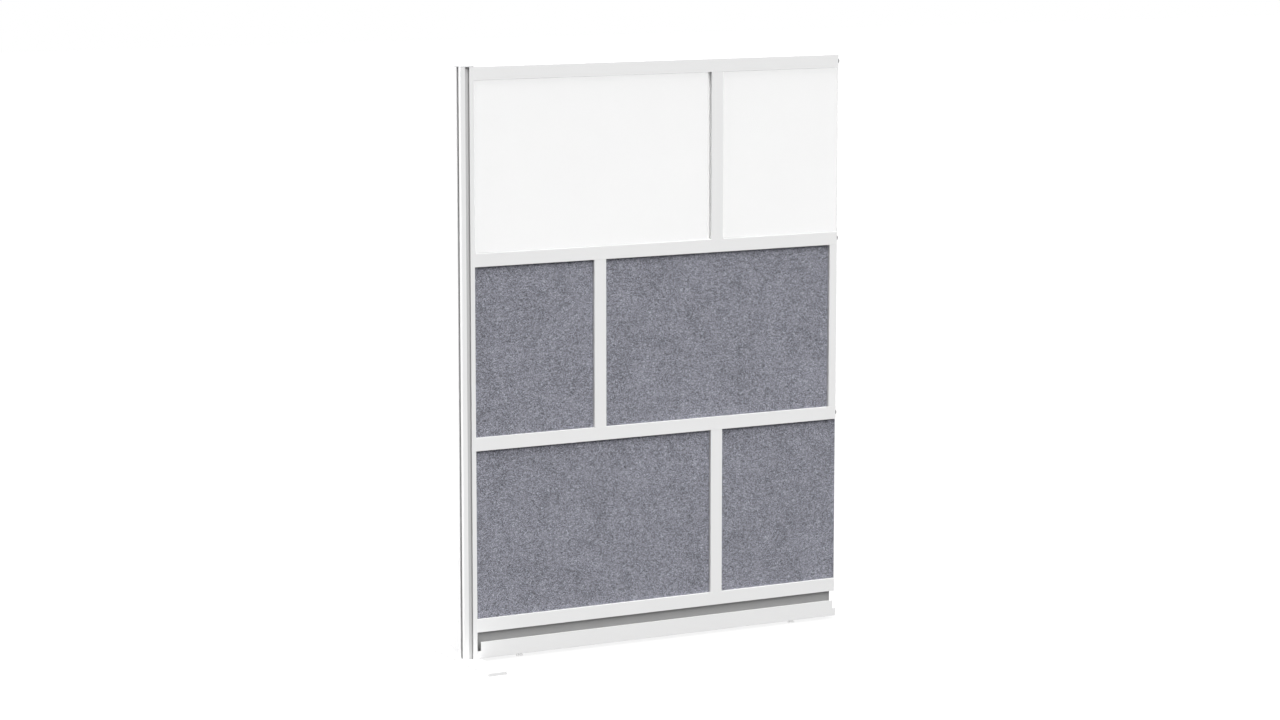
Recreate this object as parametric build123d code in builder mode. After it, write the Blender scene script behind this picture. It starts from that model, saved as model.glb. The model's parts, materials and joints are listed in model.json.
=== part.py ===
from build123d import *
import os
from math import pi

# Modular room divider: one post on a foot plate, four rails that hang on it by bolts,
# short uprights between the rails, frosted and felt panels in their grooves, and a
# hollow base with two levelling jacks. Millimetres. The origin is on the floor under
# the post's centre, +X runs along the wall to its free end, +Y to its back, +Z up.

# Overall
unit_height = 1778.0        # floor to the top of the post's cap
rail_length = 1252.0        # post's face to the rails' free ends
wide_opening = 803.5        # post's face to the upright in the top and bottom rows
narrow_opening = 400.5      # post's face to the upright in the middle row
overrun = 1.0               # how far a cut runs past the face that it opens

# Post
post_width = 42.6
post_edge_radius = 0.8
post_bore = 20.0            # round hollow down its middle
port_inset = 6.3            # axes of the screw ports in its corners, from its faces
slot_mouth = 13.7           # opening of the slot in each face
slot_lip = 2.4              # thickness of the two lips that narrow the slot's mouth
cap_thickness = 3.0
cap_spigot_length = 12.0
cap_edge_radius = 0.6
cap_clearance = 0.2

# Foot plate
foot_length = 400.0
foot_width = 60.0
foot_thickness = 10.0
foot_corner_radius = 3.0
foot_edge_radius = 1.5
foot_screw_diameter = 6.0
foot_screw_head = 11.5
foot_screw_length = 29.8
foot_screw_recess = 0.2     # how far its head lies above the plate's underside
foot_hole_clearance = 0.2
thread_clearance = 0.05     # screw to its threaded hole, all round

# Aluminium sections of the rails and uprights
frame_depth = 26.6
frame_wall = 2.0
frame_edge_radius = 0.6
rail_height = 40.0
row_count = 3
mullion_width = 40.0
stile_width = 25.8
groove_depth = 6.0

# Panels
felt_thickness = 9.0
acrylic_thickness = 5.0
panel_clearance = 0.3       # panel to each side and to the floor of its groove
panel_edge_break = 0.4
post_tongue_gap = 1.2       # panel's edge to the floor of the post's slot
acrylic_reach = 6.0         # acrylic past the rails' free ends
felt_reach = 4.0            # felt past the rails' free ends
gasket_web = 1.5
gasket_inset = 0.2          # gasket's lips below the mouth of the groove
seal_clearance = 0.15
seal_end_gap = 0.3

# Spigots between uprights and rails
spigot_insert = 30.0
spigot_clearance = 0.1
spigot_groove_clearance = 0.3

# Connector bolts and the threaded plugs in the rails' ends
bolt_diameter = 8.0
bolt_head_diameter = 16.0
bolt_head_thickness = 4.0
bolt_head_break = 0.5
bolt_slack = 0.3            # head to the lips of the slot
bolt_side_gap = 0.5         # head to the sides of the slot's undercut
bolt_floor_gap = 0.5        # head to the floor of the slot
bolt_grip = 22.0            # thread inside the plug
bolt_socket = 5.0           # hexagon, across its flats
bolt_socket_depth = 2.2
bolted_rail_ends = 3        # rails with a bolt at their free end, from the top
plug_length = 30.0
plug_clearance = 0.1

# Base
kick_height = 49.7
kick_thickness = 2.0
kick_clearance = 0.3        # kick plate to the foot plate and to the post
kick_lip = 16.6             # return under the top edge that closes the base
kick_lip_setback = 10.0     # return ends short of the spine, clear of the notches
reveal_height = 28.0        # shadow gap between the base and the bottom rail
end_notch = 11.0            # upper corners cut back at both ends of the base
notch_drop = 27.0           # how far down the notches reach
spine_web = 3.0
spine_lift = 16.0           # floor to the spine's lower edge
flange_thickness = 2.0
flange_clearance = 0.5      # flange's edge to the kick plate's inside
flange_setback = 30.0       # flanges and clips end short of the spine, clear of the notches
upper_flange_height = 50.0
lower_flange_height = 18.0
clip_rib = 1.5
clip_reach = 6.0
clip_clearance = 0.15
grub_count = 4
grub_diameter = 3.0
grub_recess = 0.3
grub_socket = 1.5
grub_inset = 130.0          # first and last grub screw from the rail's ends

# Levelling jacks
jack_inset = 150.0          # each jack's axis from the end of the rail near it
jack_travel = 12.0
jack_pitch = 1.5            # of the stud's thread
stud_diameter = 10.0
stud_flat = 4.0             # stud's axis to the flat that keeps it from turning
stud_clearance = 0.1
pad_diameter = 22.0
pad_thickness = 3.0
pad_edge_radius = 0.8
collar_diameter = 14.0
collar_thickness = 4.0
wheel_diameter = 32.0
wheel_thickness = 10.0
wheel_clearance = 0.25      # wheel to the bracket above and below it
wheel_bore_clearance = 0.05
wheel_grips = 20
grip_radius = 1.5
bracket_lift = 14.0         # floor to the bracket's underside
bracket_arm = 11.75         # bracket's underside to its window, and the window to its top
bracket_depth = 24.0
bracket_cheek = 11.0        # bracket's solid ends, left and right of the wheel's window
window_side_gap = 1.0
web_seat = 9.0              # how deep the spine's web enters each end of a bracket
web_clearance = 0.1
bracket_screw_diameter = 4.0
bracket_screw_head = 7.0
bracket_screw_head_height = 2.2
bracket_screw_inset = 4.5   # from the bracket's end
bracket_screw_tip = 2.0     # thread's end below the bracket's far face
bracket_screw_socket = 2.5

# Places that follow from the sizes
post_top = unit_height - cap_thickness
post_height = post_top - foot_thickness
port_diameter = foot_screw_diameter + 2 * thread_clearance
port_pitch = post_width - 2 * port_inset
undercut_width = bolt_head_diameter + 2 * bolt_side_gap
undercut_depth = bolt_slack + bolt_head_thickness + bolt_floor_gap
slot_depth = slot_lip + undercut_depth
rail_start = post_width / 2
rail_end = rail_start + rail_length
rail_middle = (rail_start + rail_end) / 2
kick_bottom = foot_thickness + kick_clearance
kick_top = kick_bottom + kick_height
bottom_rail_bottom = kick_top + reveal_height
top_rail_bottom = post_top - rail_height
rail_pitch = (top_rail_bottom - bottom_rail_bottom) / row_count
row_height = rail_pitch - rail_height
groove_width = felt_thickness + 2 * panel_clearance
panel_tongue = groove_depth - panel_clearance
panel_height = row_height + 2 * panel_tongue
panel_start = rail_start - slot_depth + post_tongue_gap
wide_mullion_middle = rail_start + wide_opening + mullion_width / 2
narrow_mullion_middle = rail_start + narrow_opening + mullion_width / 2
stile_middle = rail_end - stile_width / 2
chamber_width = frame_depth - 2 * frame_wall
chamber_height = rail_height - 2 * (groove_depth + frame_wall)
jack_places = (rail_start + jack_inset, rail_end - jack_inset)
rail_names = ("top_rail", "upper_rail", "lower_rail", "bottom_rail")


def rail_bottom(index):
    """Height of a rail's underside, with the top rail as number 0."""
    return top_rail_bottom - index * rail_pitch


def row_bottom(index):
    """Height of a row's opening, with the top row as number 0."""
    return rail_bottom(index + 1) + rail_height


def looking_along_wall(x, y, z):
    """Plane across the wall, with its own X upwards, for what is extruded along +X."""
    return Plane((x, y, z), x_dir=(0, 0, 1), z_dir=(1, 0, 0))


def finish(part, name):
    """Labels a piece and writes it under the name of its node."""
    part.label = name
    export_step(part, f"parts/{name}.step")


def frame_section(width, grooved, webbed):
    """Hollow section, grooved in the sides of its width that are named by their signs."""
    RectangleRounded(width, frame_depth, frame_edge_radius)
    Rectangle(width - 2 * frame_wall, chamber_width, mode=Mode.SUBTRACT)
    for side in grooved:
        with Locations((side * (width - groove_depth - frame_wall) / 2, 0)):
            Rectangle(groove_depth + frame_wall, groove_width + 2 * frame_wall)
        with Locations((side * (width - groove_depth) / 2, 0)):
            Rectangle(groove_depth, groove_width, mode=Mode.SUBTRACT)
    for side in webbed:
        with Locations((side * (width / 2 - groove_depth - frame_wall / 2), 0)):
            Rectangle(frame_wall, frame_depth)


def hexagon_across(flats):
    """Hexagon given by the distance across its flats."""
    RegularPolygon(radius=flats / 2, side_count=6, major_radius=False)


os.makedirs("parts", exist_ok=True)

# Post, its cap, and the foot plate with its screws
with BuildPart() as post:
    with BuildSketch(Plane.XY.offset(foot_thickness)):
        RectangleRounded(post_width, post_width, post_edge_radius)
        with PolarLocations(post_width / 2 - slot_lip - undercut_depth / 2, 4):
            Rectangle(undercut_depth, undercut_width, mode=Mode.SUBTRACT)
        with PolarLocations(post_width / 2 - slot_depth / 2, 4):
            Rectangle(slot_depth, slot_mouth, mode=Mode.SUBTRACT)
        Circle(post_bore / 2, mode=Mode.SUBTRACT)
        with GridLocations(port_pitch, port_pitch, 2, 2):
            Circle(port_diameter / 2, mode=Mode.SUBTRACT)
    extrude(amount=post_height)
finish(post.part, "post")

with BuildPart() as post_cap:
    with BuildSketch(Plane.XY.offset(post_top)):
        RectangleRounded(post_width, post_width, post_edge_radius)
    extrude(amount=cap_thickness)
    fillet(post_cap.faces().sort_by(Axis.Z)[-1].edges(), cap_edge_radius)
    with BuildSketch(Plane.XY.offset(post_top)):
        Circle(post_bore / 2 - cap_clearance)
    extrude(amount=-cap_spigot_length)
finish(post_cap.part, "post_cap")

with BuildPart() as foot_plate:
    with BuildSketch():
        RectangleRounded(foot_width, foot_length, foot_corner_radius)
    extrude(amount=foot_thickness)
    fillet(foot_plate.faces().sort_by(Axis.Z)[-1].edges(), foot_edge_radius)
    with Locations(Plane((0, 0, 0), x_dir=(1, 0, 0), z_dir=(0, 0, -1))):
        with GridLocations(port_pitch, port_pitch, 2, 2):
            CounterSinkHole(
                radius=foot_screw_diameter / 2 + foot_hole_clearance,
                counter_sink_radius=foot_screw_head / 2 + foot_screw_recess + foot_hole_clearance,
                depth=foot_thickness,
                counter_sink_angle=90,
            )
finish(foot_plate.part, "foot_plate")

with BuildPart() as foot_screws:
    with BuildSketch(Plane.XY.offset(foot_screw_recess)):
        with GridLocations(port_pitch, port_pitch, 2, 2):
            Circle(foot_screw_diameter / 2)
    extrude(amount=foot_screw_length)
    with Locations((0, 0, foot_screw_recess)):
        with GridLocations(port_pitch, port_pitch, 2, 2):
            Cone(
                foot_screw_head / 2,
                foot_screw_diameter / 2,
                (foot_screw_head - foot_screw_diameter) / 2,
                align=(Align.CENTER, Align.CENTER, Align.MIN),
            )
    with BuildSketch(Plane.XY.offset(foot_screw_recess)):
        with GridLocations(port_pitch, port_pitch, 2, 2):
            hexagon_across(foot_screw_diameter / 1.5)
    extrude(amount=foot_screw_diameter / 3, mode=Mode.SUBTRACT)
finish(foot_screws.part, "foot_screws")

# Rails: the top one is closed above, the bottom one is drilled for the base's grub screws
grub_height = bottom_rail_bottom + groove_depth / 2
grub_spacing = (rail_length - 2 * grub_inset) / (grub_count - 1)
for index, name in enumerate(rail_names):
    top = index == 0
    with BuildPart() as rail:
        with BuildSketch(looking_along_wall(rail_start, 0, rail_bottom(index) + rail_height / 2)):
            frame_section(rail_height, (-1,) if top else (-1, 1), (1,) if top else ())
        extrude(amount=rail_length)
        if index == row_count:
            with BuildSketch(Plane((rail_middle, 0, grub_height), x_dir=(1, 0, 0), z_dir=(0, 1, 0))):
                with GridLocations(grub_spacing, 0, grub_count, 1):
                    Circle(grub_diameter / 2 + thread_clearance)
            extrude(amount=frame_depth, mode=Mode.SUBTRACT)
    finish(rail.part, name)

# Uprights between the rails
uprights = (
    ("top_mullion", 0, wide_mullion_middle, mullion_width, (-1, 1)),
    ("middle_mullion", 1, narrow_mullion_middle, mullion_width, (-1, 1)),
    ("lower_mullion", 2, wide_mullion_middle, mullion_width, (-1, 1)),
    ("end_stile", 1, stile_middle, stile_width, (-1,)),
)
for name, row, middle, width, grooved in uprights:
    with BuildPart() as upright:
        with BuildSketch(Plane((middle, 0, row_bottom(row)))):
            frame_section(width, grooved, ())
        extrude(amount=row_height)
    finish(upright.part, name)


def spigot_pair(row, middle, width):
    """Two spigots that fill an upright's hollow at its ends and enter the rails' grooves."""
    for edge, inwards in ((row_bottom(row), 1), (row_bottom(row) + row_height, -1)):
        with BuildSketch(Plane((middle, 0, edge))) as body:
            Rectangle(width, chamber_width - 2 * spigot_clearance)
        extrude(body.sketch, amount=inwards * spigot_insert)
        with BuildSketch(Plane((middle, 0, edge))) as tongue:
            Rectangle(width, groove_width - 2 * spigot_groove_clearance)
        extrude(tongue.sketch, amount=-inwards * panel_tongue)


mullion_spigot_width = mullion_width - 2 * (groove_depth + frame_wall + spigot_clearance)
with BuildPart() as mullion_spigots:
    for name, row, middle, width, grooved in uprights[:-1]:
        spigot_pair(row, middle, mullion_spigot_width)
finish(mullion_spigots.part, "mullion_spigots")

stile_spigot_width = stile_width - groove_depth - 2 * frame_wall - 2 * spigot_clearance
with BuildPart() as stile_spigots:
    spigot_pair(1, rail_end - frame_wall - spigot_clearance - stile_spigot_width / 2, stile_spigot_width)
finish(stile_spigots.part, "stile_spigots")

# Frosted acrylic of the top row: its gasket fills the groove beside it
acrylic_tongue = panel_tongue - gasket_web
acrylic_height = row_height + 2 * acrylic_tongue
wide_mullion_left = wide_mullion_middle - mullion_width / 2
wide_mullion_right = wide_mullion_middle + mullion_width / 2
top_row_middle = row_bottom(0) + row_height / 2


def span(start, end, height, thickness, middle_height, mode=Mode.ADD):
    """Upright slab between two places along the wall."""
    with BuildSketch(Plane((0, thickness / 2, middle_height), x_dir=(1, 0, 0), z_dir=(0, -1, 0))) as slab:
        with Locations(((start + end) / 2, 0)):
            Rectangle(end - start, height)
    extrude(slab.sketch, amount=thickness, mode=mode)


with BuildPart() as wide_frosted_panel:
    span(
        panel_start + gasket_web, wide_mullion_left + acrylic_tongue,
        acrylic_height, acrylic_thickness, top_row_middle,
    )
    chamfer(wide_frosted_panel.edges(), panel_edge_break)
finish(wide_frosted_panel.part, "wide_frosted_panel")

with BuildPart() as narrow_frosted_panel:
    span(
        wide_mullion_right - acrylic_tongue, rail_end + acrylic_reach,
        acrylic_height, acrylic_thickness, top_row_middle,
    )
    chamfer(narrow_frosted_panel.edges(), panel_edge_break)
finish(narrow_frosted_panel.part, "narrow_frosted_panel")

lip_height = row_height + 2 * gasket_inset
with BuildPart() as wide_panel_gasket:
    span(panel_start, wide_mullion_left + panel_tongue, panel_height, felt_thickness, top_row_middle)
    span(
        panel_start + gasket_web, wide_mullion_left + acrylic_tongue,
        acrylic_height, acrylic_thickness, top_row_middle, Mode.SUBTRACT,
    )
    span(
        rail_start - gasket_inset, wide_mullion_left + gasket_inset,
        lip_height, felt_thickness, top_row_middle, Mode.SUBTRACT,
    )
finish(wide_panel_gasket.part, "wide_panel_gasket")

with BuildPart() as narrow_panel_gasket:
    span(wide_mullion_right - panel_tongue, rail_end, panel_height, felt_thickness, top_row_middle)
    span(
        wide_mullion_right - acrylic_tongue, rail_end + overrun,
        acrylic_height, acrylic_thickness, top_row_middle, Mode.SUBTRACT,
    )
    span(
        wide_mullion_right - gasket_inset, rail_end + overrun,
        lip_height, felt_thickness, top_row_middle, Mode.SUBTRACT,
    )
finish(narrow_panel_gasket.part, "narrow_panel_gasket")

# Felt panels of the middle and bottom rows
narrow_mullion_left = narrow_mullion_middle - mullion_width / 2
narrow_mullion_right = narrow_mullion_middle + mullion_width / 2
felt_panels = (
    ("middle_narrow_felt", 1, panel_start, narrow_mullion_left + panel_tongue),
    ("middle_wide_felt", 1, narrow_mullion_right - panel_tongue, rail_end - stile_width + panel_tongue),
    ("lower_wide_felt", 2, panel_start, wide_mullion_left + panel_tongue),
    ("lower_narrow_felt", 2, wide_mullion_right - panel_tongue, rail_end + felt_reach),
)
for name, row, start, end in felt_panels:
    with BuildPart() as felt:
        span(start, end, panel_height, felt_thickness, row_bottom(row) + row_height / 2)
        chamfer(felt.edges(), panel_edge_break)
    finish(felt.part, name)

# Seals that fill the post's slot beside the panels, between one rail and the next
seal_thickness = (slot_mouth - felt_thickness) / 2 - 2 * seal_clearance
seal_depth = slot_depth - post_tongue_gap
with BuildPart() as slot_seals:
    for row in range(row_count):
        with BuildSketch(Plane((rail_start - seal_depth / 2, 0, row_bottom(row) + seal_end_gap))):
            with GridLocations(0, felt_thickness + seal_thickness + 2 * seal_clearance, 1, 2):
                Rectangle(seal_depth, seal_thickness)
        extrude(amount=row_height - 2 * seal_end_gap)
finish(slot_seals.part, "slot_seals")


# Connector bolts: their heads run in the slots of the posts
def connector_bolt(x, z, outwards):
    """Bolt in a rail's end at height z, with its head on the side that outwards names."""
    face = Plane((x, 0, z), x_dir=(0, 1, 0), z_dir=(outwards, 0, 0))
    neck = slot_lip + bolt_slack
    with BuildSketch(face.offset(-bolt_grip)) as shank:
        Circle(bolt_diameter / 2)
    extrude(shank.sketch, amount=bolt_grip + neck)
    with BuildSketch(face.offset(neck)) as head:
        Circle(bolt_head_diameter / 2)
    extrude(head.sketch, amount=bolt_head_thickness - bolt_head_break)
    with BuildSketch(face.offset(neck + bolt_head_thickness - bolt_head_break)) as rim:
        Circle(bolt_head_diameter / 2)
    extrude(rim.sketch, amount=bolt_head_break, taper=45)
    with BuildSketch(face.offset(neck + bolt_head_thickness)) as socket:
        hexagon_across(bolt_socket)
    extrude(socket.sketch, amount=-bolt_socket_depth, mode=Mode.SUBTRACT)


with BuildPart() as post_bolts:
    for index in range(row_count + 1):
        connector_bolt(rail_start, rail_bottom(index) + rail_height / 2, -1)
finish(post_bolts.part, "post_bolts")

with BuildPart() as free_end_bolts:
    for index in range(bolted_rail_ends):
        connector_bolt(rail_end, rail_bottom(index) + rail_height / 2, 1)
finish(free_end_bolts.part, "free_end_bolts")


def plug_set(x):
    """One threaded plug in each rail, from the place x towards the free end."""
    for index in range(row_count + 1):
        with BuildSketch(looking_along_wall(x, 0, rail_bottom(index) + rail_height / 2)) as block:
            Rectangle(chamber_height - 2 * plug_clearance, chamber_width - 2 * plug_clearance)
            Circle(bolt_diameter / 2 + thread_clearance, mode=Mode.SUBTRACT)
        extrude(block.sketch, amount=plug_length)


with BuildPart() as post_end_plugs:
    plug_set(rail_start)
finish(post_end_plugs.part, "post_end_plugs")

with BuildPart() as free_end_plugs:
    plug_set(rail_end - plug_length)
finish(free_end_plugs.part, "free_end_plugs")

# Base: a spine that hangs in the bottom rail's groove and carries the clip-on kick plates
spine_start = rail_start + end_notch
spine_length = rail_length - 2 * end_notch
flange_start = spine_start + flange_setback
flange_length = spine_length - 2 * flange_setback
kick_face = post_width / 2
flange_reach = kick_face - kick_thickness - flange_clearance
lip_underside = upper_flange_height + flange_thickness + clip_clearance + clip_rib
bracket_height = wheel_thickness + 2 * wheel_clearance + 2 * bracket_arm
bracket_top = bracket_lift + bracket_height
window_half = wheel_diameter / 2 + window_side_gap
bracket_half = window_half + bracket_cheek
spine_top = bottom_rail_bottom + panel_tongue
stud_top = bracket_lift + bracket_arm + wheel_clearance + wheel_thickness + jack_travel
with BuildPart() as base_spine:
    with BuildSketch(looking_along_wall(spine_start, 0, 0)):
        with Locations(((spine_lift + bottom_rail_bottom) / 2, 0)):
            Rectangle(bottom_rail_bottom - spine_lift, spine_web)
        with Locations((bottom_rail_bottom + panel_tongue / 2, 0)):
            Rectangle(panel_tongue, felt_thickness)
    extrude(amount=spine_length)
    with BuildSketch(looking_along_wall(flange_start, 0, 0)):
        for height in (lower_flange_height, upper_flange_height):
            with Locations((height + flange_thickness / 2, 0)):
                Rectangle(flange_thickness, 2 * flange_reach)
    extrude(amount=flange_length)
    for place in jack_places:
        seat = bracket_half - web_seat + web_clearance
        with BuildSketch(Plane((place, 0, 0), x_dir=(1, 0, 0), z_dir=(0, -1, 0))):
            with Locations((0, bracket_top / 2)):
                Rectangle(2 * seat, bracket_top)
            with Locations((0, bracket_top)):
                Rectangle(2 * (stud_diameter / 2 + overrun), 2 * (stud_top - bracket_top + overrun))
        extrude(amount=spine_web / 2, both=True, mode=Mode.SUBTRACT)
        with BuildSketch(Plane((place, 0, lower_flange_height))):
            with GridLocations(0, flange_reach + spine_web / 2, 1, 2):
                Rectangle(2 * (bracket_half + window_side_gap), flange_reach - spine_web / 2)
        extrude(amount=flange_thickness, mode=Mode.SUBTRACT)
        with BuildSketch(Plane((place, 0, 0), x_dir=(1, 0, 0), z_dir=(0, -1, 0))):
            with Locations((0, (bracket_lift + bracket_top) / 2)):
                with GridLocations(2 * (bracket_half - bracket_screw_inset), 0, 2, 1):
                    Circle(bracket_screw_diameter / 2 + thread_clearance)
        extrude(amount=spine_web / 2, both=True, mode=Mode.SUBTRACT)
finish(base_spine.part, "base_spine")

with BuildPart() as base_grub_screws:
    tongue_face = Plane((rail_middle, felt_thickness / 2, grub_height), x_dir=(1, 0, 0), z_dir=(0, 1, 0))
    grub_length = (frame_depth - felt_thickness) / 2 - grub_recess
    with BuildSketch(tongue_face):
        with GridLocations(grub_spacing, 0, grub_count, 1):
            Circle(grub_diameter / 2)
    extrude(amount=grub_length)
    with BuildSketch(tongue_face.offset(grub_length)):
        with GridLocations(grub_spacing, 0, grub_count, 1):
            hexagon_across(grub_socket)
    extrude(amount=-grub_diameter / 2, mode=Mode.SUBTRACT)
finish(base_grub_screws.part, "base_grub_screws")

kick_start = rail_start + kick_clearance
kick_inside = kick_face - kick_thickness
for name, side in (("front_kick_plate", 1), ("back_kick_plate", -1)):
    with BuildPart() as kick_plate:
        with BuildSketch(looking_along_wall(kick_start, 0, 0)):
            with Locations((kick_bottom + kick_height / 2, side * (kick_face - kick_thickness / 2))):
                Rectangle(kick_height, kick_thickness)
        extrude(amount=rail_end - kick_start)
        outer_edges = kick_plate.edges().filter_by(Axis.X).filter_by(
            lambda edge: abs(abs(edge.center().Y) - kick_face) < frame_edge_radius / 2
        )
        fillet(outer_edges, frame_edge_radius)
        with BuildSketch(looking_along_wall(spine_start + kick_lip_setback, 0, 0)):
            with Locations((lip_underside + kick_thickness / 2, side * (kick_inside - kick_lip / 2))):
                Rectangle(kick_thickness, kick_lip)
        extrude(amount=spine_length - 2 * kick_lip_setback)
        with BuildSketch(looking_along_wall(flange_start, 0, 0)):
            for height in (lower_flange_height, upper_flange_height):
                with Locations((height + flange_thickness / 2, side * (kick_inside - clip_reach / 2))):
                    with GridLocations(flange_thickness + 2 * clip_clearance + clip_rib, 0, 2, 1):
                        Rectangle(clip_rib, clip_reach)
        extrude(amount=flange_length)
        with BuildSketch(Plane((rail_middle, 0, 0), x_dir=(1, 0, 0), z_dir=(0, -1, 0))):
            with Locations((0, kick_top)):
                with GridLocations(rail_length, 0, 2, 1):
                    Rectangle(2 * end_notch, 2 * notch_drop)
        extrude(amount=post_width, both=True, mode=Mode.SUBTRACT)
    finish(kick_plate.part, name)

# Levelling jacks: turning the captured wheel drives the stud, which can't turn, down
wheel_bottom = bracket_lift + bracket_arm + wheel_clearance
with BuildPart() as jack_brackets:
    for place in jack_places:
        with BuildSketch(Plane((place, 0, bracket_lift))):
            Rectangle(2 * bracket_half, bracket_depth)
            with GridLocations(2 * bracket_half - web_seat, 0, 2, 1):
                Rectangle(web_seat, spine_web + 2 * web_clearance, mode=Mode.SUBTRACT)
            with BuildSketch(mode=Mode.SUBTRACT):
                Circle(stud_diameter / 2 + stud_clearance)
                with Locations((0, stud_flat + stud_clearance)):
                    Rectangle(
                        2 * stud_diameter, stud_diameter,
                        align=(Align.CENTER, Align.MIN), mode=Mode.SUBTRACT,
                    )
        extrude(amount=bracket_height)
        with BuildSketch(Plane((place, 0, bracket_lift + bracket_arm))):
            Rectangle(2 * window_half, bracket_depth)
        extrude(amount=wheel_thickness + 2 * wheel_clearance, mode=Mode.SUBTRACT)
        with BuildSketch(Plane((place, 0, 0), x_dir=(1, 0, 0), z_dir=(0, -1, 0))):
            with Locations((0, (bracket_lift + bracket_top) / 2)):
                with GridLocations(2 * (bracket_half - bracket_screw_inset), 0, 2, 1):
                    Circle(bracket_screw_diameter / 2 + thread_clearance)
        extrude(amount=bracket_depth / 2, both=True, mode=Mode.SUBTRACT)
finish(jack_brackets.part, "jack_brackets")

with BuildPart() as bracket_screws:
    for place in jack_places:
        head_seat = Plane(
            (place, -bracket_depth / 2, (bracket_lift + bracket_top) / 2),
            x_dir=(1, 0, 0), z_dir=(0, -1, 0),
        )
        for plane, radius, length in (
            (head_seat, bracket_screw_head / 2, bracket_screw_head_height),
            (head_seat, bracket_screw_diameter / 2, bracket_screw_tip - bracket_depth),
        ):
            with BuildSketch(plane):
                with GridLocations(2 * (bracket_half - bracket_screw_inset), 0, 2, 1):
                    Circle(radius)
            extrude(amount=length)
        with BuildSketch(head_seat.offset(bracket_screw_head_height)):
            with GridLocations(2 * (bracket_half - bracket_screw_inset), 0, 2, 1):
                hexagon_across(bracket_screw_socket)
        extrude(amount=-bracket_screw_head_height / 2, mode=Mode.SUBTRACT)
finish(bracket_screws.part, "bracket_screws")

for end, place in zip(("post_end", "free_end"), jack_places):
    with BuildPart() as wheel:
        with BuildSketch(Plane((place, 0, wheel_bottom))):
            Circle(wheel_diameter / 2)
            Circle(stud_diameter / 2 + wheel_bore_clearance, mode=Mode.SUBTRACT)
            with PolarLocations(wheel_diameter / 2, wheel_grips):
                Circle(grip_radius, mode=Mode.SUBTRACT)
        extrude(amount=wheel_thickness)
    finish(wheel.part, f"{end}_wheel")

    with BuildPart() as jack_foot:
        with BuildSketch(Plane((place, 0, 0))):
            Circle(pad_diameter / 2)
        extrude(amount=pad_thickness)
        fillet(jack_foot.faces().sort_by(Axis.Z)[-1].edges(), pad_edge_radius)
        with BuildSketch(Plane((place, 0, pad_thickness))):
            Circle(stud_diameter / 2)
        extrude(amount=bracket_lift - pad_thickness)
        with BuildSketch(Plane((place, 0, bracket_lift - collar_thickness))):
            Circle(collar_diameter / 2)
        extrude(amount=collar_thickness)
        with BuildSketch(Plane((place, 0, bracket_lift))):
            Circle(stud_diameter / 2)
            with Locations((0, stud_flat)):
                Rectangle(
                    2 * stud_diameter, stud_diameter,
                    align=(Align.CENTER, Align.MIN), mode=Mode.SUBTRACT,
                )
        extrude(amount=stud_top - bracket_lift)
    finish(jack_foot.part, f"{end}_foot")

print("rail undersides", [round(rail_bottom(index), 2) for index in range(row_count + 1)])
print("row height", round(row_height, 2), "slot depth", round(slot_depth, 2))
print("jack axes", [round(place, 2) for place in jack_places], "wheel from", wheel_bottom)
print("wheel turns", jack_travel / jack_pitch, "metres per radian", round(jack_pitch / 2 / pi / 1000, 9))
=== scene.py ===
import json
import math

import bpy
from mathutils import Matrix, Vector


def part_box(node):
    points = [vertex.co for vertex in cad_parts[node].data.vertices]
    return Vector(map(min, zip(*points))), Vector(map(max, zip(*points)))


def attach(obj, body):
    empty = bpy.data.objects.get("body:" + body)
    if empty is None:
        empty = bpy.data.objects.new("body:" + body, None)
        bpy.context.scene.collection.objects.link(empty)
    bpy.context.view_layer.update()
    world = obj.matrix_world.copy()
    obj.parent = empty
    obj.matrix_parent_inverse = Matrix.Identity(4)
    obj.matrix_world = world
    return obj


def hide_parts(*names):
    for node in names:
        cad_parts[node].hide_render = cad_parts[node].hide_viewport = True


# Modular room divider: powder-coated aluminium frame, frosted acrylic above, pressed felt below.
# Metres throughout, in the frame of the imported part: floor at 0, wall along +X, front towards -Y.
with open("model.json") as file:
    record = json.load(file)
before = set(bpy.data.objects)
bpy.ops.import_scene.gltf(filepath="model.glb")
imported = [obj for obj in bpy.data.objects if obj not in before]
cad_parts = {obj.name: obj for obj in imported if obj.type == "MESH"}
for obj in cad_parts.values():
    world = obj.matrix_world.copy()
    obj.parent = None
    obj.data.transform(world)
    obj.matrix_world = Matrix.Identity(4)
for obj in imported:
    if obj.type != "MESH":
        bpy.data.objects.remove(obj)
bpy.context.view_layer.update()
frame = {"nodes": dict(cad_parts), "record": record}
print("frame loaded:", len(frame["nodes"]), "nodes")


# Camera, at the photograph's viewing angle
cameraView = {
    "place": (-4.4265, -9.2140, 2.4215),
    "heading": 28.538,   # degrees from +Y towards +X
    "dip": 8.415,        # degrees below the horizon
    "lens": 98.38,       # millimetres on the sensor below
    "sensor": 36.0,
}


def addCamera():
    turn = (math.radians(90 - cameraView["dip"]), 0, -math.radians(cameraView["heading"]))
    bpy.ops.object.camera_add(location=cameraView["place"], rotation=turn)
    camera = bpy.context.active_object
    camera.data.lens = cameraView["lens"]
    camera.data.sensor_width = cameraView["sensor"]
    bpy.context.scene.camera = camera


addCamera()
print("camera placed")


# Helpers for node materials
noiseMiddle = (0.3, 0.7)   # most values of a noise lie between these


def startMaterial(name):
    material = bpy.data.materials.new(name)
    material.use_nodes = True
    shader = material.node_tree.nodes["Principled BSDF"]
    return material, material.node_tree, shader


def surfacePoint(tree):
    return tree.nodes.new("ShaderNodeTexCoord").outputs["Object"]


def noise(tree, point, scale, octaves=2.0, falloff=0.5, swirl=0.0):
    node = tree.nodes.new("ShaderNodeTexNoise")
    node.inputs["Scale"].default_value = scale
    node.inputs["Detail"].default_value = octaves
    node.inputs["Roughness"].default_value = falloff
    node.inputs["Distortion"].default_value = swirl
    tree.links.new(point, node.inputs["Vector"])
    return node.outputs["Fac"]


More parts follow.
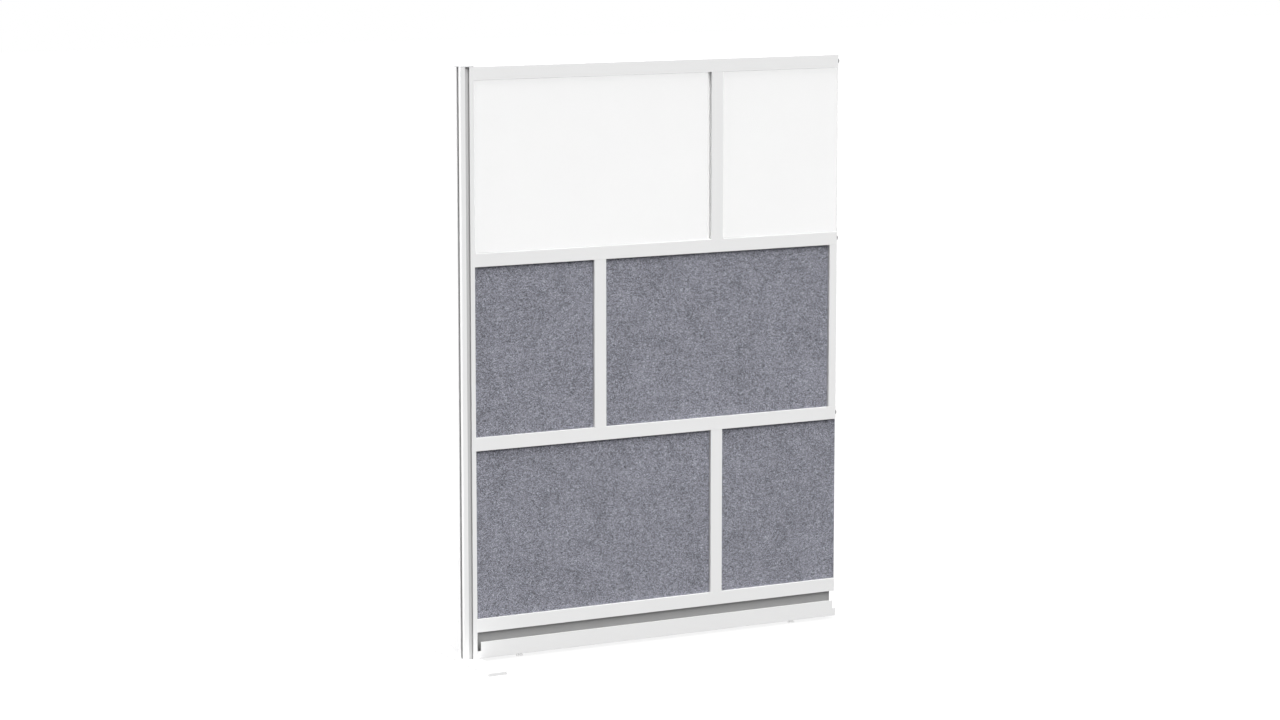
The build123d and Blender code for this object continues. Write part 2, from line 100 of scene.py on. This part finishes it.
def moved(tree, point, shift=(0, 0, 0), scale=(1, 1, 1), turn=(0, 0, 0)):
    node = tree.nodes.new("ShaderNodeMapping")
    node.inputs["Location"].default_value = shift
    node.inputs["Rotation"].default_value = turn
    node.inputs["Scale"].default_value = scale
    tree.links.new(point, node.inputs["Vector"])
    return node.outputs["Vector"]


# Fine lines: a noise with its own scale along each axis
def streakLines(tree, point, scales):
    return noise(tree, moved(tree, point, scale=scales), 1.0, 3, 0.6)


def maths(tree, kind, first, second=0.0):
    node = tree.nodes.new("ShaderNodeMath")
    node.operation = kind
    for socket, value in zip(node.inputs, (first, second)):
        if isinstance(value, (int, float)):
            socket.default_value = value
        else:
            tree.links.new(value, socket)
    return node.outputs[0]


def spread(tree, value, fromLow, fromHigh, toLow, toHigh):
    node = tree.nodes.new("ShaderNodeMapRange")
    node.interpolation_type = "SMOOTHSTEP"
    limits = {"From Min": fromLow, "From Max": fromHigh, "To Min": toLow, "To Max": toHigh}
    for name, number in limits.items():
        node.inputs[name].default_value = number
    tree.links.new(value, node.inputs["Value"])
    return node.outputs["Result"]


def blendColours(tree, amount, first, second):
    node = tree.nodes.new("ShaderNodeMix")
    node.data_type = "RGBA"
    tree.links.new(amount, node.inputs["Factor"])
    for socket, value in ((node.inputs["A"], first), (node.inputs["B"], second)):
        if isinstance(value, tuple):
            socket.default_value = (*value, 1)
        else:
            tree.links.new(value, socket)
    return node.outputs["Result"]


def bump(tree, shader, height, distance, strength=1.0):
    node = tree.nodes.new("ShaderNodeBump")
    node.inputs["Strength"].default_value = strength
    node.inputs["Distance"].default_value = distance
    tree.links.new(height, node.inputs["Height"])
    tree.links.new(node.outputs["Normal"], shader.inputs["Normal"])


def scaled(colour, factor):
    return tuple(channel * factor for channel in colour)


# A darker and a paler tone of a colour
def shades(colour, span):
    return scaled(colour, 1 - span), scaled(colour, 1 + span)


# White powder coat on the aluminium and on the foot plate
powderCoat = {
    "colour": (0.775, 0.775, 0.775),
    "toneSpan": 0.018,        # share that the colour drifts over a hand's breadth
    "toneScale": 6.0,
    "toneOctaves": 3,
    "roughness": (0.36, 0.44),
    "peelScale": 1100.0,      # orange peel, about a millimetre across
    "peelDepth": 0.00002,
    "grainScale": 4200.0,
    "grainShare": 0.3,        # the grain's height as a share of the peel's
}
# Painted shade in the post's slots: below their lips the colour turns to a darker grey with drawn lines,
# like bare aluminium, standing for the shade deep in the slots
slotShadedPostCoat = {
    **powderCoat,
    "slotShadeColour": (0.50, 0.50, 0.50),
    "slotShadeSpan": 0.1,
    "slotShadeStreaks": (1400, 1400, 25),
    "slotShadeFrom": (0.0184, 0.0189),   # from the post's axis to the painted shade's last trace and to full coat
}


def makePowderCoat(name, s):
    material, tree, shader = startMaterial(name)
    point = surfacePoint(tree)
    drift = noise(tree, point, s["toneScale"], s["toneOctaves"])
    tone = blendColours(tree, drift, *shades(s["colour"], s["toneSpan"]))
    # Painted shade: inside the slots the coat's colour gives way to a darker grey
    if "slotShadeColour" in s:
        apart = tree.nodes.new("ShaderNodeSeparateXYZ")
        tree.links.new(point, apart.inputs[0])
        across, deep = (maths(tree, "ABSOLUTE", apart.outputs[axis]) for axis in (0, 1))
        outsideSlotShade = spread(tree, maths(tree, "MAXIMUM", across, deep), *s["slotShadeFrom"], 0.0, 1.0)
        streaks = streakLines(tree, point, s["slotShadeStreaks"])
        slotShade = blendColours(tree, streaks, *shades(s["slotShadeColour"], s["slotShadeSpan"]))
        tone = blendColours(tree, outsideSlotShade, slotShade, tone)
    tree.links.new(tone, shader.inputs["Base Color"])
    peel = noise(tree, point, s["peelScale"], 2)
    grain = noise(tree, point, s["grainScale"], 1)
    tree.links.new(spread(tree, grain, *noiseMiddle, *s["roughness"]), shader.inputs["Roughness"])
    height = maths(tree, "ADD", peel, maths(tree, "MULTIPLY", grain, s["grainShare"]))
    bump(tree, shader, height, s["peelDepth"])
    return material


# Moulded plastics and rubbers: one recipe, with its own values for each
mouldingRecipe = {
    "mottleScale": 40.0,
    "mottleOctaves": 4,
    "mottleSpan": 0.07,
    "grainOctaves": 3,
    "grainRange": (0.25, 0.75),
    "falloff": 0.6,
    "roughnessSpan": 0.07,
}
mouldings = {
    "cap_grey": {
        "colour": (0.56, 0.56, 0.57), "roughness": 0.55, "grainScale": 1600.0, "grainDepth": 0.00003,
    },
    "spigot_grey": {
        "colour": (0.33, 0.33, 0.34), "roughness": 0.5, "grainScale": 900.0, "grainDepth": 0.00003,
    },
    "plug_black": {
        "colour": (0.035, 0.035, 0.036), "roughness": 0.48, "grainScale": 1100.0, "grainDepth": 0.00003,
    },
    "wheel_black": {
        "colour": (0.03, 0.03, 0.031), "roughness": 0.42, "grainScale": 1400.0, "grainDepth": 0.00002,
    },
    "seal_rubber": {
        "colour": (0.30, 0.30, 0.31), "roughness": 0.7, "grainScale": 700.0, "grainDepth": 0.00004,
    },
}


def makeMoulding(name, s):
    s = {**mouldingRecipe, **s}
    material, tree, shader = startMaterial(name)
    point = surfacePoint(tree)
    mottle = noise(tree, point, s["mottleScale"], s["mottleOctaves"], s["falloff"])
    tone = blendColours(tree, mottle, *shades(s["colour"], s["mottleSpan"]))
    tree.links.new(tone, shader.inputs["Base Color"])
    grain = noise(tree, point, s["grainScale"], s["grainOctaves"], s["falloff"])
    smooth, rough = s["roughness"] - s["roughnessSpan"], s["roughness"] + s["roughnessSpan"]
    tree.links.new(spread(tree, grain, *s["grainRange"], smooth, rough), shader.inputs["Roughness"])
    bump(tree, shader, grain, s["grainDepth"])
    return material


# Bare metals: a fine brushing along the piece, with a little unevenness
metalRecipe = {
    "toneSpan": 0.12,
    "streakRange": (0.2, 0.8),
    "streakDepth": 0.00001,
    "roughnessSpan": 0.08,
    "cloudScale": 14.0,
    "cloudOctaves": 3,
    "cloudTone": 0.8,      # tone of the duller patches, as a share of the colour
    "cloudShare": 0.25,    # how much of that tone they take on
}
metals = {
    # Painted shade: the spine's dark grey is partly its aluminium and partly the shade in the gap under
    # the bottom rail, painted into its colour
    "spine_aluminium": {
        "colour": (0.275, 0.275, 0.275), "metal": 0.15, "roughness": 0.55, "brush": (25.0, 1400.0, 1400.0),
    },
    "zinc": {
        "colour": (0.55, 0.55, 0.57), "metal": 1.0, "roughness": 0.32, "brush": (300.0, 300.0, 300.0),
    },
    "dark_steel": {
        "colour": (0.09, 0.09, 0.095), "metal": 1.0, "roughness": 0.38, "brush": (250.0, 250.0, 250.0),
    },
}


def makeMetal(name, s):
    s = {**metalRecipe, **s}
    material, tree, shader = startMaterial(name)
    shader.inputs["Metallic"].default_value = s["metal"]
    point = surfacePoint(tree)
    streaks = streakLines(tree, point, s["brush"])
    tone = blendColours(tree, streaks, *shades(s["colour"], s["toneSpan"]))
    cloud = noise(tree, point, s["cloudScale"], s["cloudOctaves"])
    clouded = spread(tree, cloud, *noiseMiddle, 0.0, s["cloudShare"])
    tone = blendColours(tree, clouded, tone, scaled(s["colour"], s["cloudTone"]))
    tree.links.new(tone, shader.inputs["Base Color"])
    smooth, rough = s["roughness"] - s["roughnessSpan"], s["roughness"] + s["roughnessSpan"]
    tree.links.new(spread(tree, streaks, *s["streakRange"], smooth, rough), shader.inputs["Roughness"])
    bump(tree, shader, streaks, s["streakDepth"])
    return material


# Frosted acrylic, the milky vinyl gaskets round it, and the clear nylon of the levelling feet
frostedAcrylic = {
    "colour": (0.884, 0.884, 0.884),
    "colourSpan": 0.01,
    "roughness": (0.19, 0.23),
    "ior": 1.49,
    "transmission": 0.93,
    "frostScale": 2600.0,
    "frostDepth": 0.000012,
    "cloudScale": 5.0,
}
milkyVinyl = {
    "colour": (0.90, 0.90, 0.90),
    "colourSpan": 0.01,
    "roughness": (0.30, 0.42),
    "ior": 1.42,
    "transmission": 0.10,
    "frostScale": 800.0,
    "frostDepth": 0.00002,
    "cloudScale": 30.0,
}
milkyNylon = {
    "colour": (0.98, 0.98, 0.975),
    "colourSpan": 0.01,
    "roughness": (0.44, 0.52),
    "ior": 1.53,
    "transmission": 0.93,
    "frostScale": 1300.0,
    "frostDepth": 0.000008,
    "cloudScale": 60.0,
}


def makeClearPlastic(name, s):
    material, tree, shader = startMaterial(name)
    shader.inputs["IOR"].default_value = s["ior"]
    shader.inputs["Transmission Weight"].default_value = s["transmission"]
    point = surfacePoint(tree)
    cloud = noise(tree, point, s["cloudScale"], 2)
    tone = blendColours(tree, cloud, *shades(s["colour"], s["colourSpan"]))
    tree.links.new(tone, shader.inputs["Base Color"])
    frost = noise(tree, point, s["frostScale"], 2)
    tree.links.new(spread(tree, frost, *noiseMiddle, *s["roughness"]), shader.inputs["Roughness"])
    bump(tree, shader, frost, s["frostDepth"])
    return material


# Pressed felt: mottled grey, with pale and dark fibres matted into it
feltCloth = {
    "colour": (0.190, 0.193, 0.225),
    "darkest": 0.02,            # tones of the darkest and palest fibres, as shares of the colour
    "palest": 3.87,
    "curve": 2.2,               # keeps most tones near the dark end
    "base": 0.443,              # level between the two before patches and fibres are added
    "patches": (                # patches a metre, octaves, share, swirl
        (7.0, 2.0, 0.17, 0.3),
        (50.0, 1.0, 0.08, 0.8),
        (150.0, 1.0, 0.335, 1.4),
        (360.0, 3.0, 0.64, 0.6),
    ),
    "fibreScales": (110.0, 160.0, 230.0),
    "fibreNoise": (2, 0.55, 1.6),     # octaves, falloff, swirl
    "fibreStretch": (1, 1, 1.8),
    "fibreWidth": 0.06,
    "fibres": (                 # how the lines act on the level, their share, where their noise starts
        ("ADD", 0.27, 0.7),
        ("SUBTRACT", 0.118, 3.1),
    ),
    "roughness": 0.95,
    "sheen": 0.12,
    "sheenRoughness": 0.6,
    "gloss": 0.25,
    "reliefDepth": 0.0009,
    "reliefStrength": 0.7,
}


# Thin wandering lines, where a drawn-out noise passes its middle value
def fibreLines(tree, point, scale, shift, s):
    place = moved(tree, point, (shift, 2 * shift, 3 * shift), s["fibreStretch"], (0, shift, 0))
    field = noise(tree, place, scale, *s["fibreNoise"])
    distance = maths(tree, "ABSOLUTE", maths(tree, "SUBTRACT", field, 0.5))
    return spread(tree, distance, 0.0, s["fibreWidth"], 1.0, 0.0)


def makeFelt(name, s):
    material, tree, shader = startMaterial(name)
    shader.inputs["Roughness"].default_value = s["roughness"]
    shader.inputs["Sheen Weight"].default_value = s["sheen"]
    shader.inputs["Sheen Roughness"].default_value = s["sheenRoughness"]
    shader.inputs["Specular IOR Level"].default_value = s["gloss"]
    point = surfacePoint(tree)
    level = s["base"]
    for scale, octaves, share, swirl in s["patches"]:
        patch = maths(tree, "SUBTRACT", noise(tree, point, scale, octaves, 1.0, swirl), 0.5)
        level = maths(tree, "ADD", level, maths(tree, "MULTIPLY", patch, share))
    for index, scale in enumerate(s["fibreScales"]):
        for kind, share, start in s["fibres"]:
            lines = fibreLines(tree, point, scale, start + index, s)
            level = maths(tree, kind, level, maths(tree, "MULTIPLY", lines, share))
    paleness = maths(tree, "POWER", maths(tree, "MAXIMUM", level, 0.0), s["curve"])
    dark, pale = scaled(s["colour"], s["darkest"]), scaled(s["colour"], s["palest"])
    tree.links.new(blendColours(tree, paleness, dark, pale), shader.inputs["Base Color"])
    bump(tree, shader, level, s["reliefDepth"], s["reliefStrength"])
    return material


finishes = {
    "white_coat": makePowderCoat("whiteCoat", powderCoat),
    "white_steel": makePowderCoat("whiteSteel", powderCoat),
    "frosted_acrylic": makeClearPlastic("frostedAcrylic", frostedAcrylic),
    "clear_gasket": makeClearPlastic("milkyVinyl", milkyVinyl),
    "foot_white": makeClearPlastic("milkyNylon", milkyNylon),
    "grey_felt": makeFelt("greyFelt", feltCloth),
}
finishes.update({name: makeMoulding(name, s) for name, s in mouldings.items()})
finishes.update({name: makeMetal(name, s) for name, s in metals.items()})
ownFinishes = {"post": makePowderCoat("slotShadedPostCoat", slotShadedPostCoat)}
for part in frame["record"]["subparts"]:
    mesh = frame["nodes"][part["node"]].data
    mesh.materials.clear()
    mesh.materials.append(ownFinishes.get(part["node"], finishes[part["material_slot"]]))
print("finishes:", len(finishes))


# Felt panels: slabs with soft pressed edges and a faintly uneven face
feltSlab = {
    "cell": 0.005,          # size of the mesh's squares
    "sharp": 60.0,          # degrees from which an edge is pressed round
    "edgeRound": 0.0011,
    "roundSteps": 3,
    "smooth": 40.0,         # degrees up to which faces shade into each other
    "skin": 0.0002,         # how far the slab's face lies inside the solid that it replaces
    "reliefs": ((0.045, 0.00022), (0.011, 0.00016)),   # size and height of the unevenness
    "reliefOctaves": 2,
}
feltNodes = ("middle_narrow_felt", "middle_wide_felt", "lower_wide_felt", "lower_narrow_felt")


def addFeltPanel(node):
    low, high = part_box(node)
    size = high - low
    middle = (low + high) / 2
    columns, rows = round(size.x / feltSlab["cell"]), round(size.z / feltSlab["cell"])
    depth = size.y - 2 * feltSlab["skin"]
    bpy.ops.object.select_all(action="DESELECT")
    bpy.ops.mesh.primitive_grid_add(
        size=1, x_subdivisions=columns, y_subdivisions=rows, rotation=(math.pi / 2, 0, 0),
    )
    slab = bpy.context.active_object
    slab.name = node + "_pressed"
    bpy.ops.object.transform_apply(location=True, rotation=True, scale=True)
    bpy.ops.object.mode_set(mode="EDIT")
    bpy.ops.mesh.select_all(action="SELECT")
    bpy.ops.transform.resize(value=(size.x, 1, size.z))
    bpy.ops.transform.translate(value=(middle.x, middle.y - depth / 2, middle.z))
    bpy.ops.mesh.extrude_region_move(TRANSFORM_OT_translate={"value": (0, depth, 0)})
    bpy.ops.mesh.select_all(action="SELECT")
    bpy.ops.mesh.normals_make_consistent(inside=False)
    bpy.ops.mesh.select_all(action="DESELECT")
    bpy.ops.mesh.select_mode(type="EDGE")
    bpy.ops.mesh.edges_select_sharp(sharpness=math.radians(feltSlab["sharp"]))
    bpy.ops.mesh.bevel(offset=feltSlab["edgeRound"], segments=feltSlab["roundSteps"], affect="EDGES")
    bpy.ops.object.mode_set(mode="OBJECT")
    for number, (reach, height) in enumerate(feltSlab["reliefs"]):
        pattern = bpy.data.textures.new(f"{node}Relief{number}", "CLOUDS")
        pattern.noise_scale = reach
        pattern.noise_depth = feltSlab["reliefOctaves"]
        lift = slab.modifiers.new("relief", "DISPLACE")
        lift.texture = pattern
        lift.texture_coords = "LOCAL"
        lift.strength = height
        bpy.ops.object.modifier_apply(modifier=lift.name)
    bpy.ops.object.shade_smooth_by_angle(angle=math.radians(feltSlab["smooth"]))
    slab.data.materials.append(finishes["grey_felt"])
    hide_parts(node)
    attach(slab, "divider")


for feltNode in feltNodes:
    addFeltPanel(feltNode)
print("felt panels:", len(feltNodes))


# Gaskets: channels in the grooves of the frame, with a little air round the acrylic that they hold
gasketShape = {
    "air": 0.0001,
    "lipInset": 0.0002,     # lips below the mouth of the groove
    "lipRound": 0.0003,
    "roundSteps": 2,
    "smooth": 50.0,         # degrees up to which faces shade into each other
    "pastRails": 0.01,      # the narrow panel's tongue has no lip beside it, so its cut runs on
}


def addBlock(name, low, high):
    bpy.ops.object.select_all(action="DESELECT")
    bpy.ops.mesh.primitive_cube_add(size=1, location=(low + high) / 2, scale=high - low)
    block = bpy.context.active_object
    block.name = name
    bpy.ops.object.transform_apply(location=True, rotation=True, scale=True)
    return block


def cutAway(piece, low, high):
    cutter = addBlock("cutter", low, high)
    cut = piece.modifiers.new("cut", "BOOLEAN")
    cut.operation = "DIFFERENCE"
    cut.solver = "EXACT"
    cut.object = cutter
    bpy.context.view_layer.objects.active = piece
    bpy.ops.object.modifier_apply(modifier=cut.name)
    bpy.data.objects.remove(cutter)


# The opening that the lips frame is cut right through, from left to right and between the rails
def addGasket(node, panel, left, right):
    low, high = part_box(node)
    gasket = addBlock(node + "_channel", low, high)
    air = Vector((gasketShape["air"],) * 3)
    panelLow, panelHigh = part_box(panel)
    cutAway(gasket, panelLow - air, panelHigh + air)
    bottom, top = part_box("upper_rail")[1].z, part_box("top_rail")[0].z
    inset = gasketShape["lipInset"]
    openingLow = Vector((left - inset, 2 * low.y, bottom - inset))
    openingHigh = Vector((right + inset, 2 * high.y, top + inset))
    cutAway(gasket, openingLow, openingHigh)
    soften = gasket.modifiers.new("soften", "BEVEL")
    soften.width = gasketShape["lipRound"]
    soften.segments = gasketShape["roundSteps"]
    soften.limit_method = "ANGLE"
    bpy.context.view_layer.objects.active = gasket
    gasket.select_set(True)
    bpy.ops.object.modifier_apply(modifier=soften.name)
    bpy.ops.object.shade_smooth_by_angle(angle=math.radians(gasketShape["smooth"]))
    gasket.data.materials.append(finishes["clear_gasket"])
    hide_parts(node)
    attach(gasket, "divider")


railLow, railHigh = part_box("top_rail")
mullionLow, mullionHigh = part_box("top_mullion")
addGasket("wide_panel_gasket", "wide_frosted_panel", railLow.x, mullionLow.x)
freeEnd = railHigh.x + gasketShape["pastRails"]
addGasket("narrow_panel_gasket", "narrow_frosted_panel", mullionHigh.x, freeEnd)
print("gaskets: 2")


# Floor and light: white where the camera, a gloss or a clear panel looks, plainly lit elsewhere.
# A lamp's level is how bright it makes a white surface that faces it. Its place is given in
# degrees to the right of the wall's front and above the floor, and its spread in degrees too.
studio = {
    "floorSize": 60.0,
    "floorBounce": (0.11, 0.11, 0.11),   # what the floor gives back to the object
    "floorGlow": 0.88,                   # what the camera sees of it before the light is added
    "floorTone": (0.10, 0.10, 0.10),     # how much of the light and shadow the camera sees
    "skyLevel": 0.30,
    "lampHeight": 4.0,
    "lamps": (
        {"name": "frontLamp", "round": 4.0, "up": 43.0, "level": 0.79, "spread": 40.0},
        {"name": "topLamp", "round": -5.0, "up": 72.0, "level": 0.56, "spread": 24.0},
        {"name": "sideLamp", "round": -114.0, "up": 36.0, "level": 1.30, "spread": 50.0},
    ),
}


def seenDirectly(tree):
    path = tree.nodes.new("ShaderNodeLightPath")
    seen = maths(tree, "MAXIMUM", path.outputs["Is Camera Ray"], path.outputs["Is Glossy Ray"])
    return maths(tree, "MAXIMUM", seen, path.outputs["Is Transmission Ray"])


def addFloor():
    bpy.ops.object.select_all(action="DESELECT")
    bpy.ops.mesh.primitive_plane_add(size=studio["floorSize"])
    floor = bpy.context.active_object
    floor.name = "studioFloor"
    material, tree, shader = startMaterial("studioFloor")
    tree.nodes.remove(shader)
    bounce = tree.nodes.new("ShaderNodeBsdfDiffuse")
    bounce.inputs["Color"].default_value = (*studio["floorBounce"], 1)
    shaded = tree.nodes.new("ShaderNodeBsdfDiffuse")
    shaded.inputs["Color"].default_value = (*studio["floorTone"], 1)
    glow = tree.nodes.new("ShaderNodeEmission")
    glow.inputs["Strength"].default_value = studio["floorGlow"]
    seen = tree.nodes.new("ShaderNodeAddShader")
    tree.links.new(shaded.outputs[0], seen.inputs[0])
    tree.links.new(glow.outputs[0], seen.inputs[1])
    choice = tree.nodes.new("ShaderNodeMixShader")
    tree.links.new(seenDirectly(tree), choice.inputs[0])
    tree.links.new(bounce.outputs[0], choice.inputs[1])
    tree.links.new(seen.outputs[0], choice.inputs[2])
    tree.links.new(choice.outputs[0], tree.nodes["Material Output"].inputs["Surface"])
    floor.data.materials.append(material)


def addSky():
    world = bpy.data.worlds.new("studioSky")
    bpy.context.scene.world = world
    world.use_nodes = True
    tree = world.node_tree
    ground = tree.nodes["Background"]
    level = spread(tree, seenDirectly(tree), 0.0, 1.0, studio["skyLevel"], 1.0)
    tree.links.new(level, ground.inputs["Strength"])
    ground.inputs["Color"].default_value = (1, 1, 1, 1)


def addLamp(s):
    bpy.ops.object.light_add(type="SUN", location=(0, 0, studio["lampHeight"]))
    lamp = bpy.context.active_object
    lamp.name = s["name"]
    lamp.data.energy = s["level"] * math.pi
    lamp.data.angle = math.radians(s["spread"])
    lamp.rotation_euler = (math.radians(90 - s["up"]), 0, math.radians(s["round"]))


addFloor()
addSky()
for lampSettings in studio["lamps"]:
    addLamp(lampSettings)
bpy.context.scene.view_settings.view_transform = "Standard"
print("studio lit")
